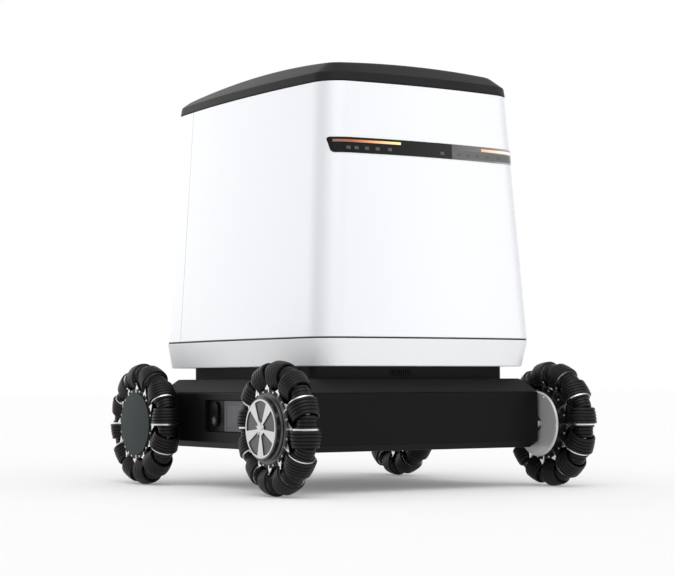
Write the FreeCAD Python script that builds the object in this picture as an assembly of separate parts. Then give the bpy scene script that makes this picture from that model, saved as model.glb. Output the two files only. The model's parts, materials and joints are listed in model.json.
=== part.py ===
import FreeCAD, Part
import math
import os

# Four-wheel delivery robot, millimetres. +Z is up, the front faces -Y, the floor is z = 0.

# Wheels
WHEEL_X = 326.0
WHEEL_Y = 275.0
WHEEL_R = 127.0
PLATES = 12
PLATE_STEP = 360.0 / PLATES
PLATE_HALF = 1.5
GUSSET_OUT = 21.5
GUSSET_WIDTH = 2.5
GUSSET_RUN = 12.5
GUSSET_TOP_R = 86.0
LIVE_PLATES = {"a": -90.0, "b": -120.0}

# Big roller: axis distance from the wheel axis, its two ends along that axis, and its hollow
BIG_AXIS_R = 97.0
BIG_START = 1.8
BIG_END = 34.0
BIG_HOLLOW_R = 22.0
BIG_HOLLOW_START = 17.0
BIG_RIBS = 5
# Small roller, which nests in the next big roller's hollow
SMALL_AXIS_R = 102.0
SMALL_START = 1.8
SMALL_END = 27.0
GROOVE_W = 1.8
GROOVE_D = 2.0
BIG_JOURNAL_R = 5.0
SMALL_JOURNAL_R = 4.0
RUNNING_GAP = 0.05

# Wheel hub
BAND_R = 62.0
BAND_HALF = 21.0
CARRIER_R = 65.5
FLANGE_R = 73.0
FLANGE_IN = 18.6
HUB_DISC_R = 66.0
INBOARD_FACE = 39.0
CAP_R = 55.0
CAP_FACE = 38.6
PETAL_IN = 12.0
PETAL_OUT = 50.5
PETAL_HALF = 23.5
PETAL_DEPTH = 2.0
STAR_OUT = 17.0
STAR_IN = 5.0
STAR_RISE = 1.4
REAR_CAP_R = 65.5
CAVITY_R = 56.0
AXLE_R = 10.0
AXLE_TIP_R = 8.0
BEARING_R = 16.0
TIP_BEARING_R = 13.0
AXLE_INNER_X = 236.0

# Chassis
CHASSIS_X = 282.0
CHASSIS_Y = 292.0
CHASSIS_Z0 = 80.0
BEVEL_TOP = 93.0
BEVEL_IN = 13.0
TUB_TOP = 192.5
DECK_Z = 219.5
DECK_INSET = 29.0
CHASSIS_CORNER = 9.0
CHASSIS_WALL = 4.0
PLINTH_X = 230.0
PLINTH_Y = 241.0
PLINTH_TOP = 243.7
RECESS_Y = 90.0
RECESS_Z0 = 113.0
RECESS_Z1 = 178.0
RECESS_DEPTH = 10.0
SENSOR_Y = 57.0

# Body levels: height, half width, front, rear, corner radius
SKIRT_LOW = (PLINTH_TOP, 262.0, -328.0, 352.0, 56.0)
SKIRT_HIGH = (296.0, 274.0, -338.0, 353.0, 62.0)
SHELL_LOW = (299.0, 274.0, -338.0, 353.0, 62.0)
SHELL_HIGH = (790.0, 241.0, -306.5, 352.0, 60.0)
FRONT_BOW_R = 1300.0
SIDE_BOW_R = 2600.0
REAR_BOW_R = 3000.0
BODY_WALL = 4.0
PANEL_SEAM_Y = 232.0
PANEL_GAP = 1.2

# Light bar across the front
BAR_Z0 = 650.5
BAR_Z1 = 680.5
BAR_HALF = 222.0
BAR_SLANT = 6.0
BAR_CORNER_R = 7.0
BAR_PROUD = 0.8
LED_Z0 = 671.0
LED_Z1 = 676.0
LED_SPANS = ((-213.0, -71.0), (126.0, 213.0))
WINDOW_XS = (-185.0, -168.0, -146.0, -123.0, -96.0, 26.0, 68.0, 91.0, 114.0, 141.0, 173.0)
WINDOW_HALF = 4.5
WINDOW_ABOVE = (7.0, 13.0)
COVER_SPAN = (50.0, 212.0)
COVER_Z = (653.5, 669.0)

# Lid and its hinge
LID_Z0 = 791.0
LID_WALL_TOP = 808.5
LID_LEAN = 3.0
LID_SLOPE_TOP = 842.0
LID_SLOPE_IN = 48.5
LID_TOP = 849.0
LID_DOME_R = 2660.0
LID_DOME_Y = -11.0
LID_THICKNESS = 4.0
LID_RIM = 12.0
HINGE_Y = 359.0
HINGE_Z = 786.0
HINGE_XS = (-120.0, 120.0)
HINGE_PIN_R = 2.5
KNUCKLE_R = 5.0

# Cargo bin
BIN_X = 205.0
BIN_Y0 = -262.0
BIN_Y1 = 285.0
BIN_Z0 = 252.0
BIN_TOP = 786.0
BIN_WALL = 3.0

# Lid lock
LOCK_Y = -284.0
LOCK_Z = 774.0
BOLT_R = 4.0

V = FreeCAD.Vector
X_AXIS = V(1, 0, 0)
Y_AXIS = V(0, 1, 0)
Z_AXIS = V(0, 0, 1)
ORIGIN = V(0, 0, 0)


def box(x0, x1, y0, y1, z0, z1):
    return Part.makeBox(x1 - x0, y1 - y0, z1 - z0, V(x0, y0, z0))


def rod(radius, start, end):
    along = end.sub(start)
    return Part.makeCylinder(radius, along.Length, start, along)


def group(shapes):
    return Part.makeCompound(shapes)


def sweep_face(wire, axis):
    return Part.Face(wire).revolve(ORIGIN, axis, 360)


def spun_x(points):
    """A solid of revolution about X from (x, radius) corners."""
    corners = [V(x, 0, r) for x, r in points]
    return sweep_face(Part.makePolygon(corners + corners[:1]), X_AXIS)


def turned(shape, angle):
    """The shape turned about X, which carries +Y towards +Z."""
    copy = shape.copy()
    copy.rotate(ORIGIN, X_AXIS, angle)
    return copy


# ---------------------------------------------------------------- outlines


def circle_meet(c0, r0, c1, r1, near):
    """Of the two points where two circles cross, the one nearer to a given point."""
    dx = c1[0] - c0[0]
    dy = c1[1] - c0[1]
    gap = math.hypot(dx, dy)
    along = (gap * gap + r0 * r0 - r1 * r1) / (2 * gap)
    off = math.sqrt(r0 * r0 - along * along)
    found = []
    for side in (-1, 1):
        x = c0[0] + (along * dx - side * off * dy) / gap
        y = c0[1] + (along * dy + side * off * dx) / gap
        found.append((x, y))
    return min(found, key=lambda point: math.dist(point, near))


def towards(centre, point, reach):
    """The point at a given reach from a centre, in the direction of another point."""
    dx = point[0] - centre[0]
    dy = point[1] - centre[1]
    size = math.hypot(dx, dy)
    return centre[0] + dx / size * reach, centre[1] + dy / size * reach


def corner_arc(end_centre, end_r, side_centre, side_r, corner, near):
    """Start, middle and end of the round corner tangent to an end bow and a side bow."""
    centre = circle_meet(end_centre, end_r - corner, side_centre, side_r - corner, near)
    first = towards(end_centre, centre, end_r)
    last = towards(side_centre, centre, side_r)
    half = ((first[0] + last[0]) / 2, (first[1] + last[1]) / 2)
    return first, towards(centre, half, corner), last


def body_outline(level, inset):
    """Closed plan outline of the body at one level: four bowed faces and four round corners."""
    z, half_x, front, rear, corner = level
    half_x -= inset
    front += inset
    rear -= inset
    corner -= inset
    front_r = FRONT_BOW_R - inset
    side_r = SIDE_BOW_R - inset
    rear_r = REAR_BOW_R - inset
    middle = (front + rear) / 2
    side_centre = (half_x - side_r, middle)
    f0, f1, f2 = corner_arc((0, front + front_r), front_r, side_centre, side_r, corner, (half_x, front))
    r0, r1, r2 = corner_arc((0, rear - rear_r), rear_r, side_centre, side_r, corner, (half_x, rear))

    def at(point, mirror=1):
        return V(point[0] * mirror, point[1], z)

    arcs = [
        (at(f0, -1), V(0, front, z), at(f0)),
        (at(f0), at(f1), at(f2)),
        (at(f2), V(half_x, middle, z), at(r2)),
        (at(r2), at(r1), at(r0)),
        (at(r0), V(0, rear, z), at(r0, -1)),
        (at(r0, -1), at(r1, -1), at(r2, -1)),
        (at(r2, -1), V(-half_x, middle, z), at(f2, -1)),
        (at(f2, -1), at(f1, -1), at(f0, -1)),
    ]
    return Part.Wire([Part.Arc(a, b, c).toShape() for a, b, c in arcs])


def between(low, high, z):
    """The body level found at a height between two others."""
    share = (z - low[0]) / (high[0] - low[0])
    return tuple(a + (b - a) * share for a, b in zip(low, high))


def raised(level, z):
    return (z,) + tuple(level[1:])


def body_solid(low, high, inset_low, inset_high=None):
    if inset_high is None:
        inset_high = inset_low
    return Part.makeLoft([body_outline(low, inset_low), body_outline(high, inset_high)], True, True)


def round_rect(half_x, half_y, corner, z):
    """Closed rounded rectangle at one height."""
    edges = []
    quarter = corner * (1 - math.sqrt(0.5))
    x, y = half_x, half_y
    corners = [(x, -y, -1, 1), (x, y, -1, -1), (-x, y, 1, -1), (-x, -y, 1, 1)]
    ends = []
    for cx, cy, sx, sy in corners:
        on_x = V(cx + sx * corner, cy, z)
        on_y = V(cx, cy + sy * corner, z)
        mid = V(cx + sx * quarter, cy + sy * quarter, z)
        first, last = (on_x, on_y) if sx * sy < 0 else (on_y, on_x)
        ends.append((first, mid, last))
    for index, (first, mid, last) in enumerate(ends):
        edges.append(Part.Arc(first, mid, last).toShape())
        edges.append(Part.makeLine(last, ends[(index + 1) % 4][0]))
    return Part.Wire(edges)


def frustum(low, high):
    """A straight-sided solid between two rounded rectangles."""
    return Part.makeLoft([round_rect(*low), round_rect(*high)], True, True)


# ---------------------------------------------------------------- wheels


def crown(s):
    """Radius of a big roller at distance s from its plate, so that it rides on the wheel circle."""
    return math.sqrt(WHEEL_R**2 - s**2) - BIG_AXIS_R


def roller_edges(stations, radius_at, bulge=0.0):
    """Outer profile with grooves: an arc for each rib and a square groove between ribs."""
    edges = []
    for index in range(len(stations) - 1):
        start = stations[index] + (GROOVE_W / 2 if index else 0)
        last = index == len(stations) - 2
        end = stations[index + 1] - (0 if last else GROOVE_W / 2)
        middle = (start + end) / 2
        points = [V(s, 0, radius_at(s)) for s in (start, middle, end)]
        points[1].z += bulge
        edges.append(Part.Arc(*points).toShape())
        if not last:
            floor_r = radius_at(stations[index + 1]) - GROOVE_D
            low_start = V(end, 0, floor_r)
            low_end = V(end + GROOVE_W, 0, floor_r)
            edges.append(Part.makeLine(points[2], low_start))
            edges.append(Part.makeLine(low_start, low_end))
            edges.append(Part.makeLine(low_end, V(end + GROOVE_W, 0, radius_at(end + GROOVE_W))))
    return edges


def lathe(outer, corners):
    """Spins a profile about X: the outer edges, closed by straight lines through the corners."""
    start = outer[0].valueAt(outer[0].FirstParameter)
    end = outer[-1].valueAt(outer[-1].LastParameter)
    chain = [end] + [V(x, 0, r) for x, r in corners] + [start]
    lines = [Part.makeLine(a, b) for a, b in zip(chain, chain[1:])]
    return sweep_face(Part.Wire(outer + lines), X_AXIS)


def big_roller():
    """Along +X from its plate, around the X axis: ribbed, with a hollow far end."""
    pitch = (BIG_END - BIG_START) / BIG_RIBS
    stations = [BIG_START + pitch * i for i in range(BIG_RIBS + 1)]
    bore = BIG_JOURNAL_R + RUNNING_GAP
    corners = [
        (BIG_END, BIG_HOLLOW_R),
        (BIG_HOLLOW_START, BIG_HOLLOW_R),
        (BIG_HOLLOW_START, bore),
        (BIG_START, bore),
    ]
    return lathe(roller_edges(stations, crown), corners)


def small_radius(t):
    """Radius of a small roller at distance t from its plate: a broad rib, then a barrel."""
    steps = [(0.0, 22.0), (5.0, 21.5), (7.5, 18.9), (12.0, 19.3), (20.0, 19.0), (SMALL_END, 16.8)]
    for (t0, r0), (t1, r1) in zip(steps, steps[1:]):
        if t <= t1:
            return r0 + (r1 - r0) * (t - t0) / (t1 - t0)
    return steps[-1][1]


def small_roller():
    stations = [SMALL_START, 6.0, 12.5, 19.5, SMALL_END]
    bore = SMALL_JOURNAL_R + RUNNING_GAP
    corners = [(SMALL_END, bore), (SMALL_START, bore)]
    return lathe(roller_edges(stations, small_radius, 0.4), corners)


def on_plate(shape, axis_r, angle, side):
    """Puts a shape built along +X at a plate: side +1 is the big rollers' side, -1 the small ones'."""
    placed = shape.copy()
    placed.rotate(ORIGIN, Z_AXIS, -90 * side)
    placed.translate(V(0, 0, axis_r))
    return turned(placed, angle - 90)


def plate_angles():
    return [PLATE_STEP * i for i in range(PLATES)]


def plate():
    """One roller plate standing on the hub at 12 o'clock, in the plane y = 0."""
    reach = WHEEL_R - 4.0 - BIG_AXIS_R
    disc = rod(reach, V(0, -PLATE_HALF, BIG_AXIS_R), V(0, PLATE_HALF, BIG_AXIS_R))
    foot_points = [
        V(-16, 0, CARRIER_R),
        V(-BAND_HALF, 0, CARRIER_R),
        V(-BAND_HALF, 0, FLANGE_R),
        V(-19, 0, BIG_AXIS_R),
        V(19, 0, BIG_AXIS_R),
        V(BAND_HALF, 0, FLANGE_R),
        V(BAND_HALF, 0, CARRIER_R),
        V(16, 0, CARRIER_R),
    ]
    foot = Part.Face(Part.makePolygon(foot_points + foot_points[:1]))
    foot = foot.extrude(V(0, 2 * PLATE_HALF, 0))
    foot.translate(V(0, -PLATE_HALF, 0))
    webs = [gusset(-GUSSET_OUT), gusset(GUSSET_OUT - GUSSET_WIDTH)]
    return disc.multiFuse([foot] + webs).removeSplitter().cut(stud_waist())


def gusset(x):
    """Bright three-cornered web between a plate's edge and the rim, on the small roller's side."""
    points = [V(x, PLATE_HALF, FLANGE_R), V(x, GUSSET_RUN, FLANGE_R), V(x, PLATE_HALF, GUSSET_TOP_R)]
    return Part.Face(Part.makePolygon(points + points[:1])).extrude(V(GUSSET_WIDTH, 0, 0))


def stud_waist():
    middle = (BIG_AXIS_R + SMALL_AXIS_R) / 2
    return rod(9.0, V(0, -PLATE_HALF, middle), V(0, PLATE_HALF, middle))


def stud():
    """The step stud through a plate at 12 o'clock: big journal on -Y, small journal on +Y."""
    big_end = BIG_HOLLOW_START + 0.3
    small_end = SMALL_END + 0.3
    pieces = [
        rod(BIG_JOURNAL_R, V(0, -PLATE_HALF, BIG_AXIS_R), V(0, -big_end, BIG_AXIS_R)),
        rod(7.5, V(0, -big_end, BIG_AXIS_R), V(0, -big_end - 2, BIG_AXIS_R)),
        rod(SMALL_JOURNAL_R, V(0, PLATE_HALF, SMALL_AXIS_R), V(0, small_end, SMALL_AXIS_R)),
        rod(6.0, V(0, small_end, SMALL_AXIS_R), V(0, small_end + 1.2, SMALL_AXIS_R)),
    ]
    return stud_waist().multiFuse(pieces)


def carrier(plates):
    """The spool that the plates stand on: a band with two rims, slotted for the plates' tabs."""
    rim = [
        (BAND_HALF, BAND_R),
        (BAND_HALF, FLANGE_R),
        (FLANGE_IN, FLANGE_R),
        (FLANGE_IN, CARRIER_R),
        (-FLANGE_IN, CARRIER_R),
        (-FLANGE_IN, FLANGE_R),
        (-BAND_HALF, FLANGE_R),
        (-BAND_HALF, BAND_R),
    ]
    return spun_x(rim).cut(group(plates))


def hub_screws():
    """Screw heads midway between the plates on both rims, and five on the inboard disc."""
    heads = []
    for angle in plate_angles():
        for side in (-1, 1):
            face = side * BAND_HALF
            head = rod(1.9, V(face, 0, 69.5), V(face + side * 1.2, 0, 69.5))
            heads.append(turned(head, angle + PLATE_STEP / 2))
    for index in range(5):
        head = rod(2.2, V(INBOARD_FACE, 0, 58), V(INBOARD_FACE + 1.4, 0, 58))
        heads.append(turned(head, -94 + 72 * index))
    return heads


def rotor(is_front):
    """Hub-motor housing about X, outboard towards -X."""
    shared = [
        (INBOARD_FACE, BEARING_R + RUNNING_GAP),
        (INBOARD_FACE, HUB_DISC_R - 3),
        (INBOARD_FACE - 3, HUB_DISC_R),
        (BAND_HALF, HUB_DISC_R),
        (BAND_HALF, BAND_R),
        (-BAND_HALF, BAND_R),
    ]
    pocket = TIP_BEARING_R + RUNNING_GAP
    if is_front:
        nose = [
            (-BAND_HALF, 67.5),
            (-24.5, 67.5),
            (-26.0, 66.0),
            (-26.0, 60.5),
            (-28.5, 58.0),
            (-37.0, 58.0),
            (-38.0, 57.0),
            (-38.0, CAP_R + 0.1),
            (-34.0, CAP_R + 0.1),
            (-34.0, 20.0),
            (-20.5, 20.0),
            (-20.5, pocket),
        ]
    else:
        nose = [(-BAND_HALF, pocket)]
    inside = [(-12.0, pocket), (-12.0, CAVITY_R), (33.0, CAVITY_R), (33.0, BEARING_R + RUNNING_GAP)]
    return spun_x(shared + nose + inside)


def petal():
    """One sunk wedge of the front cap, towards +Z."""
    half = math.radians(PETAL_HALF)

    def at(radius, angle):
        return V(-CAP_FACE - 1, radius * math.sin(angle), radius * math.cos(angle))

    edges = [
        Part.makeLine(at(PETAL_IN, -half), at(PETAL_OUT, -half)),
        Part.Arc(at(PETAL_OUT, -half), at(PETAL_OUT + 1.5, 0), at(PETAL_OUT, half)).toShape(),
        Part.makeLine(at(PETAL_OUT, half), at(PETAL_IN, half)),
        Part.Arc(at(PETAL_IN, half), at(PETAL_IN, 0), at(PETAL_IN, -half)).toShape(),
    ]
    return Part.Face(Part.Wire(edges)).extrude(V(1 + PETAL_DEPTH, 0, 0))


def star():
    """Five-armed boss in the middle of the front cap."""
    root = PETAL_DEPTH + 0.5
    points = []
    for index in range(10):
        radius = STAR_OUT if index % 2 == 0 else STAR_IN
        angle = math.radians(36 * index)
        points.append(V(-CAP_FACE + root, radius * math.sin(angle), radius * math.cos(angle)))
    return Part.Face(Part.makePolygon(points + points[:1])).extrude(V(-root - STAR_RISE, 0, 0))


def front_cap():
    disc = rod(CAP_R, V(-34, 0, 0), V(-CAP_FACE, 0, 0))
    petals = group([turned(petal(), 72 * i) for i in range(5)])
    return disc.cut(petals).fuse(star()).removeSplitter()


def rear_cap():
    """Plain cover disc, slightly crowned, closing the rotor."""
    edge = BAND_HALF + 3.0
    rise = 2.2
    dome_r = (REAR_CAP_R**2 + rise**2) / (2 * rise)
    disc = rod(REAR_CAP_R, V(-BAND_HALF, 0, 0), V(-edge - rise, 0, 0))
    return disc.common(Part.makeSphere(dome_r, V(dome_r - edge - rise, 0, 0)))


def wheel_parts(is_front):
    """All nodes of one wheel about the origin, outboard towards -X."""
    upright = plate()
    plates = [turned(upright, angle) for angle in plate_angles()]
    upright_stud = stud()
    studs = [turned(upright_stud, angle) for angle in plate_angles()]
    big = big_roller()
    small = small_roller()
    live = {key: on_plate(big, BIG_AXIS_R, angle, 1) for key, angle in LIVE_PLATES.items()}
    still = []
    for angle in plate_angles():
        is_live = any(abs((angle - other) % 360) < 1 for other in LIVE_PLATES.values())
        if not is_live:
            still.append(on_plate(big, BIG_AXIS_R, angle, 1))
        still.append(on_plate(small, SMALL_AXIS_R, angle, -1))
    parts = {
        "motor_rotor": rotor(is_front),
        "hub_cap": front_cap() if is_front else rear_cap(),
        "roller_carrier": carrier(plates),
        "roller_plates": group(plates),
        "studs_and_screws": group(studs + hub_screws()),
        "rollers": group(still),
    }
    for key, roller in live.items():
        parts["roller_" + key] = roller
    return parts


def place_wheel(shape, side_x, side_y):
    """Moves a wheel piece to its corner. Rear wheels are of the opposite hand."""
    placed = shape.copy()
    if side_y > 0:
        placed = placed.mirror(ORIGIN, Y_AXIS)
    if side_x > 0:
        placed.rotate(ORIGIN, Z_AXIS, 180)
    placed.translate(V(side_x * WHEEL_X, side_y * WHEEL_Y, WHEEL_R))
    return placed


CORNERS = {
    "front_right": (-1, -1),
    "front_left": (1, -1),
    "rear_right": (-1, 1),
    "rear_left": (1, 1),
}


def wheel_nodes():
    nodes = {}
    kits = {-1: wheel_parts(True), 1: wheel_parts(False)}
    for corner, (side_x, side_y) in CORNERS.items():
        for name, shape in kits[side_y].items():
            nodes[corner + "_" + name] = place_wheel(shape, side_x, side_y)
    return nodes


# ---------------------------------------------------------------- axles and motors


def at_corners(make):
    """The same piece at the four wheels. It is made for +X and turned or mirrored to the others."""
    shapes = []
    for side_x, side_y in CORNERS.values():
        shape = make()
        if side_x < 0:
            shape = shape.mirror(ORIGIN, X_AXIS)
        if side_y < 0:
            shape = shape.mirror(ORIGIN, Y_AXIS)
        shapes.append(shape)
    return shapes


def across(radius, x0, x1):
    """A rod on the +X, +Y wheel's axis."""
    return rod(radius, V(x0, WHEEL_Y, WHEEL_R), V(x1, WHEEL_Y, WHEEL_R))


def motor_axle():
    step = WHEEL_X + 12
    return across(AXLE_R, AXLE_INNER_X, step).fuse(across(AXLE_TIP_R, step, WHEEL_X + 20))


def inboard_bearing():
    x0 = WHEEL_X - INBOARD_FACE
    return across(BEARING_R, x0, x0 + 6).cut(across(AXLE_R, x0, x0 + 6))


def outboard_bearing():
    x0 = WHEEL_X + 12
    return across(TIP_BEARING_R, x0, x0 + 8).cut(across(AXLE_TIP_R, x0, x0 + 8))


def motor_stator():
    """Laminated ring with eighteen teeth on a hub around the axle."""
    x0 = WHEEL_X - 26
    x1 = WHEEL_X + 8
    body = across(50.0, x0, x1).cut(across(AXLE_R, x0, x1))
    slots = []
    for index in range(18):
        slot = box(x0, x1, WHEEL_Y - 2.0, WHEEL_Y + 2.0, WHEEL_R + 30, WHEEL_R + 51)
        slot.rotate(V(0, WHEEL_Y, WHEEL_R), X_AXIS, 20 * index)
        slots.append(slot)
    return body.cut(group(slots))


CLAMP_Y0 = 250.0
CLAMP_TOP = 150.0
CLAMP_SCREW_Y = 258.0
CLAMP_SCREW_XS = (246.0, 266.0)


def axle_clamp():
    wall = CHASSIS_X - CHASSIS_WALL
    block = box(AXLE_INNER_X, wall, CLAMP_Y0, CHASSIS_Y - CHASSIS_WALL, BEVEL_TOP + 4, CLAMP_TOP)
    holes = [across(AXLE_R, AXLE_INNER_X, wall)]
    for x in CLAMP_SCREW_XS:
        holes.append(rod(3.0, V(x, CLAMP_SCREW_Y, 110), V(x, CLAMP_SCREW_Y, CLAMP_TOP)))
    inside = frustum(chassis_level(CHASSIS_WALL, BEVEL_TOP), chassis_level(CHASSIS_WALL, CLAMP_TOP + 1))
    return block.common(inside).cut(group(holes))


def clamp_screw(x):
    shank = rod(3.0, V(x, CLAMP_SCREW_Y, 110), V(x, CLAMP_SCREW_Y, CLAMP_TOP))
    head = rod(5.0, V(x, CLAMP_SCREW_Y, CLAMP_TOP), V(x, CLAMP_SCREW_Y, CLAMP_TOP + 6))
    socket = rod(2.5, V(x, CLAMP_SCREW_Y, CLAMP_TOP + 3), V(x, CLAMP_SCREW_Y, CLAMP_TOP + 6))
    return shank.fuse(head).cut(socket)


def drive_nodes():
    screws = []
    for x in CLAMP_SCREW_XS:
        screws += at_corners(lambda: clamp_screw(x))
    return {
        "motor_axles": group(at_corners(motor_axle)),
        "motor_bearings": group(at_corners(inboard_bearing) + at_corners(outboard_bearing)),
        "motor_stators": group(at_corners(motor_stator)),
        "axle_clamps": group(at_corners(axle_clamp)),
        "clamp_screws": group(screws),
    }


# ---------------------------------------------------------------- chassis


def chassis_level(inset, z):
    return (CHASSIS_X - inset, CHASSIS_Y - inset, max(CHASSIS_CORNER - inset, 3.0), z)


def cable_hole(z0, z1):
    return box(-120, 120, -150, 150, z0, z1)


def chassis_tub():
    wall = CHASSIS_WALL
    bevel = frustum(chassis_level(BEVEL_IN, CHASSIS_Z0), chassis_level(0, BEVEL_TOP))
    sides = frustum(chassis_level(0, BEVEL_TOP), chassis_level(0, TUB_TOP))
    low = frustum(chassis_level(BEVEL_IN + wall, CHASSIS_Z0 + wall), chassis_level(wall, BEVEL_TOP + wall))
    high = frustum(chassis_level(wall, BEVEL_TOP + wall), chassis_level(wall, TUB_TOP + 1))
    tub = bevel.fuse(sides).cut(low.fuse(high))
    pockets = []
    for side in (-1, 1):
        face = side * CHASSIS_X
        back = side * (CHASSIS_X - RECESS_DEPTH)
        inner = side * (CHASSIS_X - RECESS_DEPTH - wall)
        edge = RECESS_Y + wall
        block = box(min(face, inner), max(face, inner), -edge, edge, RECESS_Z0 - wall, RECESS_Z1 + wall)
        tub = tub.fuse(block)
        outside = face + side
        low_x, high_x = sorted((outside, back))
        pockets.append(box(low_x, high_x, -RECESS_Y, RECESS_Y, RECESS_Z0, RECESS_Z1))
    tub = tub.removeSplitter().cut(group(pockets))
    axles = at_corners(lambda: across(AXLE_R + 0.5, CHASSIS_X - 8, CHASSIS_X + 2))
    return tub.cut(group(axles))


def chassis_cover():
    wall = CHASSIS_WALL
    outer = frustum(chassis_level(0, TUB_TOP), (*chassis_level(DECK_INSET, DECK_Z)[:2], 8, DECK_Z))
    inner_top = (*chassis_level(DECK_INSET + wall, DECK_Z)[:2], 6, DECK_Z - wall)
    inner = frustum(chassis_level(wall, TUB_TOP), inner_top)
    return outer.cut(inner).cut(cable_hole(DECK_Z - 10, DECK_Z + 1))


def plinth():
    wall = 4.0
    outer = frustum((PLINTH_X, PLINTH_Y, 18, DECK_Z), (PLINTH_X, PLINTH_Y, 18, PLINTH_TOP))
    inner_x = PLINTH_X - wall
    inner_y = PLINTH_Y - wall
    inner = frustum((inner_x, inner_y, 14, DECK_Z), (inner_x, inner_y, 14, PLINTH_TOP - wall))
    slots = []
    for index in range(10):
        x = -50.5 + 5.2 * index
        slots.append(box(x, x + 2.4, -PLINTH_Y - 1, -inner_y + 1, DECK_Z + 6, PLINTH_TOP - 6))
    return outer.cut(inner).cut(cable_hole(PLINTH_TOP - 10, PLINTH_TOP + 1)).cut(group(slots))


def both_sides(make):
    """A piece of the chassis side for +X, and its mirror image for -X."""
    shape = make()
    return group([shape, shape.mirror(ORIGIN, X_AXIS)])


def side_plate():
    back = CHASSIS_X - RECESS_DEPTH
    panel = box(back, back + 3, -RECESS_Y + 2, 22, RECESS_Z0 + 2, RECESS_Z1 - 2)
    groove = box(back + 2, back + 4, -RECESS_Y + 8, 16, RECESS_Z0 + 8, RECESS_Z1 - 8)
    raised_field = box(back + 2, back + 4, -RECESS_Y + 10, 14, RECESS_Z0 + 10, RECESS_Z1 - 10)
    return panel.cut(groove.cut(raised_field))


def side_sensor():
    """Dark module with an upright rounded tongue and a ring at its foot."""
    back = CHASSIS_X - RECESS_DEPTH
    base = box(back, back + 2.5, 25, RECESS_Y - 2, RECESS_Z0 + 2, RECESS_Z1 - 2)
    foot = V(back, SENSOR_Y, 137)
    head = V(back, SENSOR_Y, 161)
    reach = X_AXIS * 7.0
    tongue = rod(13.0, foot, foot + reach).fuse(rod(13.0, head, head + reach))
    tongue = tongue.fuse(box(back, back + 7, SENSOR_Y - 13, SENSOR_Y + 13, 137, 161))
    seat = rod(8.0, V(back + 4, SENSOR_Y, 137), V(back + 8, SENSOR_Y, 137))
    return base.fuse(tongue).removeSplitter().cut(seat)


def side_lens():
    back = CHASSIS_X - RECESS_DEPTH
    ring = rod(8.0, V(back + 4, SENSOR_Y, 137), V(back + 8, SENSOR_Y, 137))
    return ring.cut(Part.makeSphere(9.0, V(back + 15, SENSOR_Y, 137)))


def drive_electronics():
    """Two motor controllers with ribs, and the main computer."""
    boxes = []
    floor_z = CHASSIS_Z0 + CHASSIS_WALL
    for side in (-1, 1):
        shell = box(side * 120 - 55, side * 120 + 55, -232, -112, floor_z, 128)
        starts = [side * 120 - 49 + 14 * i for i in range(8)]
        grooves = [box(x, x + 6, -232, -112, 118, 129) for x in starts]
        boxes.append(shell.cut(group(grooves)))
    boxes.append(box(-60, 60, -96, -52, floor_z, 168))
    return boxes


def battery_pack():
    floor_z = CHASSIS_Z0 + CHASSIS_WALL
    case = frustum((115, 125, 10, floor_z), (115, 125, 10, 165))
    handle = box(-60, 60, -9, 9, 165, 180).cut(box(-48, 48, -10, 10, 164, 174))
    pack = case.fuse(handle)
    pack.translate(V(0, 90, 0))
    return pack.removeSplitter()


def chassis_nodes():
    return {
        "chassis_tub": chassis_tub(),
        "chassis_cover": chassis_cover(),
        "plinth": plinth(),
        "side_plates": both_sides(side_plate),
        "side_sensors": both_sides(side_sensor),
        "battery_pack": battery_pack(),
        "drive_electronics": group(drive_electronics()),
    }


# ---------------------------------------------------------------- body


def shell_level(z):
    return between(SHELL_LOW, SHELL_HIGH, z)


def body_skirt():
    outer = body_solid(SKIRT_LOW, SKIRT_HIGH, 0)
    floor_level = between(SKIRT_LOW, SKIRT_HIGH, SKIRT_LOW[0] + BODY_WALL)
    above = raised(SKIRT_HIGH, SKIRT_HIGH[0] + 0.01)
    inner = body_solid(floor_level, above, BODY_WALL)
    return outer.cut(inner).cut(cable_hole(SKIRT_LOW[0] - 1, SKIRT_LOW[0] + 10))


def seam_gasket():
    low = SKIRT_HIGH
    high = raised(SKIRT_HIGH, SHELL_LOW[0])
    return body_solid(low, high, 2.0).cut(body_solid(low, high, 5.0))


def shell_ring():
    return body_solid(SHELL_LOW, SHELL_HIGH, 0).cut(body_solid(SHELL_LOW, SHELL_HIGH, BODY_WALL))


def bar_block(grow):
    """The region of the light bar in front of the body: slanted ends with round corners."""
    half = BAR_HALF + grow
    z0 = BAR_Z0 - grow
    z1 = BAR_Z1 + grow
    corners = [(-half + BAR_SLANT, z0), (half - BAR_SLANT, z0), (half, z1), (-half, z1)]
    edges = []
    ends = []
    for index, corner in enumerate(corners):
        before = towards(corner, corners[index - 1], BAR_CORNER_R)
        after = towards(corner, corners[(index + 1) % 4], BAR_CORNER_R)
        middle = [(2 * corner[i] + before[i] + after[i]) / 4 for i in (0, 1)]
        ends.append([V(x, -400, z) for x, z in (before, middle, after)])
    for index, (first, middle, last) in enumerate(ends):
        edges.append(Part.Arc(first, middle, last).toShape())
        edges.append(Part.makeLine(last, ends[(index + 1) % 4][0]))
    return Part.Face(Part.Wire(edges)).extrude(V(0, 260, 0))


def bar_layer(outer_inset, inner_inset):
    """A slice of the body's skin at the height of the light bar, between two insets."""
    low = shell_level(BAR_Z0 - 5)
    high = shell_level(BAR_Z1 + 5)
    return body_solid(low, high, outer_inset).cut(body_solid(low, high, inner_inset))


def led_block(x0, x1):
    return box(x0, x1, -400, -160, LED_Z0, LED_Z1)


def window_block(x):
    low, high = WINDOW_ABOVE
    return box(x - WINDOW_HALF, x + WINDOW_HALF, -400, -160, BAR_Z0 + low, BAR_Z0 + high)


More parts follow.
